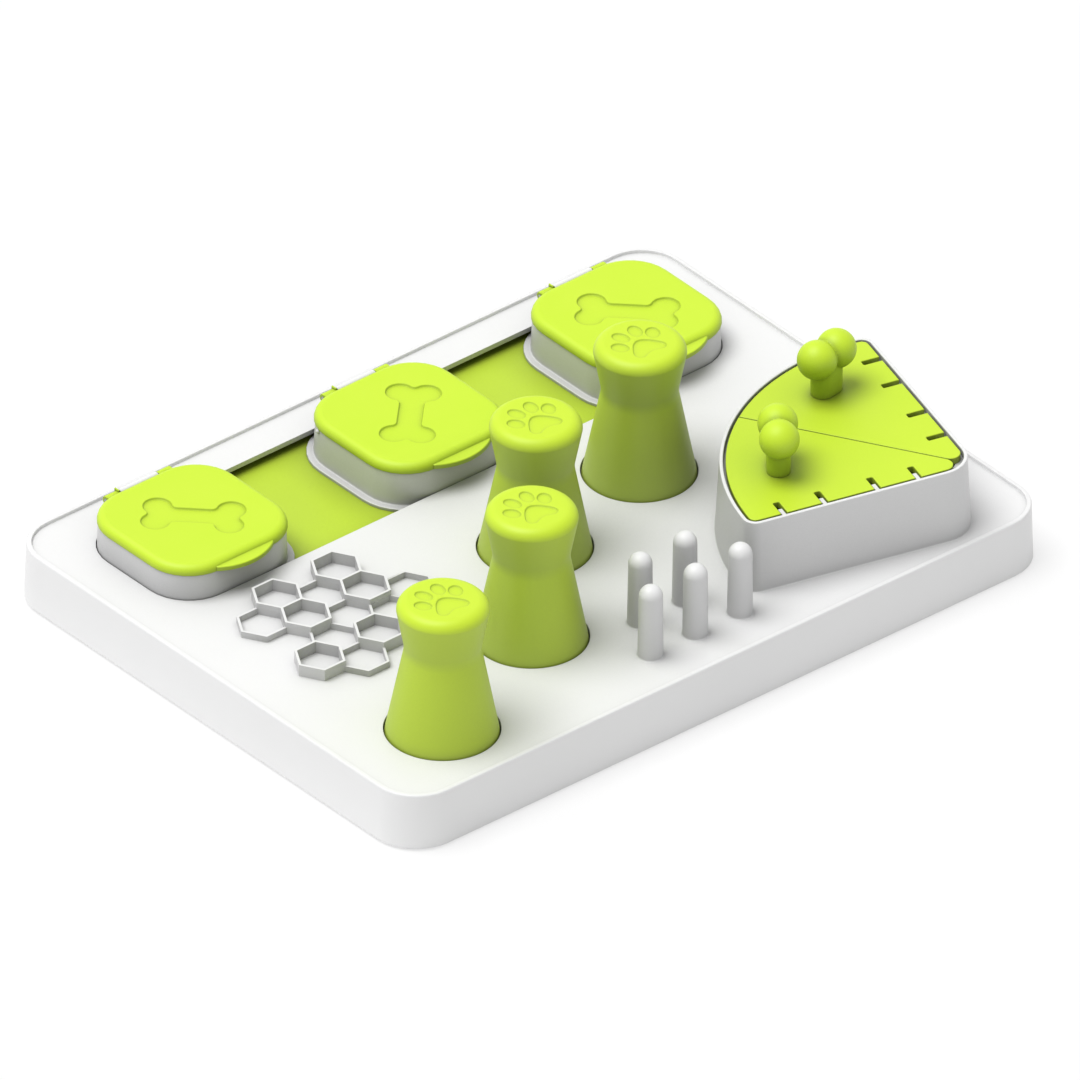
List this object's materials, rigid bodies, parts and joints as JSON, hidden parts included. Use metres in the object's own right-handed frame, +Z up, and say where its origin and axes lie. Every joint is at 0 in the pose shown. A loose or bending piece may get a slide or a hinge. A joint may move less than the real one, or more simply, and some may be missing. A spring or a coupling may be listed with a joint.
{
  "type": "slow feeder puzzle",
  "caption": "Low rectangular treat puzzle board with sliding lidded boxes, lift-off waisted cups, a quarter-round bin with sector lids, a honeycomb and round pegs.",
  "frame": {"origin": "centre of the board's footprint, on the surface that its feet stand on", "axes": "+X along the long side, towards the sector bin; +Y towards the row of boxes; +Z up"},
  "size_m": [0.4, 0.298, 0.1028],
  "materials": {
    "white_plastic": "satin moulded",
    "lime_plastic": "satin moulded",
    "foot_rubber": "matt",
    "steel": "plated"
  },
  "bodies": {
    "board": {"base_board": "white_plastic", "bin_wall": "white_plastic", "honeycomb": "white_plastic", "pegs": "white_plastic", "slide_tray": "lime_plastic", "tray_screws": "steel", "feet": "foot_rubber"},
    "left_box_body": {"left_box": "white_plastic", "left_hinge_pin": "steel"},
    "left_lid_body": {"left_lid": "lime_plastic"},
    "middle_box_body": {"middle_box": "white_plastic", "middle_hinge_pin": "steel"},
    "middle_lid_body": {"middle_lid": "lime_plastic"},
    "right_box_body": {"right_box": "white_plastic", "right_hinge_pin": "steel"},
    "right_lid_body": {"right_lid": "lime_plastic"},
    "first_cup_body": {"first_cup": "lime_plastic"},
    "second_cup_body": {"second_cup": "lime_plastic"},
    "third_cup_body": {"third_cup": "lime_plastic"},
    "fourth_cup_body": {"fourth_cup": "lime_plastic"},
    "front_sector_body": {"front_sector_lid": "lime_plastic", "front_knob": "lime_plastic"},
    "back_sector_body": {"back_sector_lid": "lime_plastic", "back_knob": "lime_plastic"}
  },
  "joints": [
    {"name": "left_box_slide", "type": "slide", "parent": "board", "child": "left_box_body", "axis": [1, 0, 0], "range_m": [0, 0.024]},
    {"name": "left_lid_hinge", "type": "hinge", "parent": "left_box_body", "child": "left_lid_body", "pos_m": [-0.1348, 0.1276, 0.0437], "axis": [-1, 0, 0], "range_deg": [0, 110]},
    {"name": "middle_box_slide", "type": "slide", "parent": "board", "child": "middle_box_body", "axis": [1, 0, 0], "range_m": [-0.024, 0.024]},
    {"name": "middle_lid_hinge", "type": "hinge", "parent": "middle_box_body", "child": "middle_lid_body", "pos_m": [0, 0.1276, 0.0437], "axis": [-1, 0, 0], "range_deg": [0, 110]},
    {"name": "right_box_slide", "type": "slide", "parent": "board", "child": "right_box_body", "axis": [1, 0, 0], "range_m": [-0.024, 0]},
    {"name": "right_lid_hinge", "type": "hinge", "parent": "right_box_body", "child": "right_lid_body", "pos_m": [0.1348, 0.1276, 0.0437], "axis": [-1, 0, 0], "range_deg": [0, 110]},
    {"name": "first_cup_lift", "type": "slide", "parent": "board", "child": "first_cup_body", "axis": [0, 0, 1], "range_m": [0, 0.08]},
    {"name": "second_cup_lift", "type": "slide", "parent": "board", "child": "second_cup_body", "axis": [0, 0, 1], "range_m": [0, 0.08]},
    {"name": "third_cup_lift", "type": "slide", "parent": "board", "child": "third_cup_body", "axis": [0, 0, 1], "range_m": [0, 0.08]},
    {"name": "fourth_cup_lift", "type": "slide", "parent": "board", "child": "fourth_cup_body", "axis": [0, 0, 1], "range_m": [0, 0.08]},
    {"name": "front_sector_lift", "type": "slide", "parent": "board", "child": "front_sector_body", "axis": [0, 0, 1], "range_m": [0, 0.042]},
    {"name": "back_sector_lift", "type": "slide", "parent": "board", "child": "back_sector_body", "axis": [0, 0, 1], "range_m": [0, 0.042]}
  ]
}
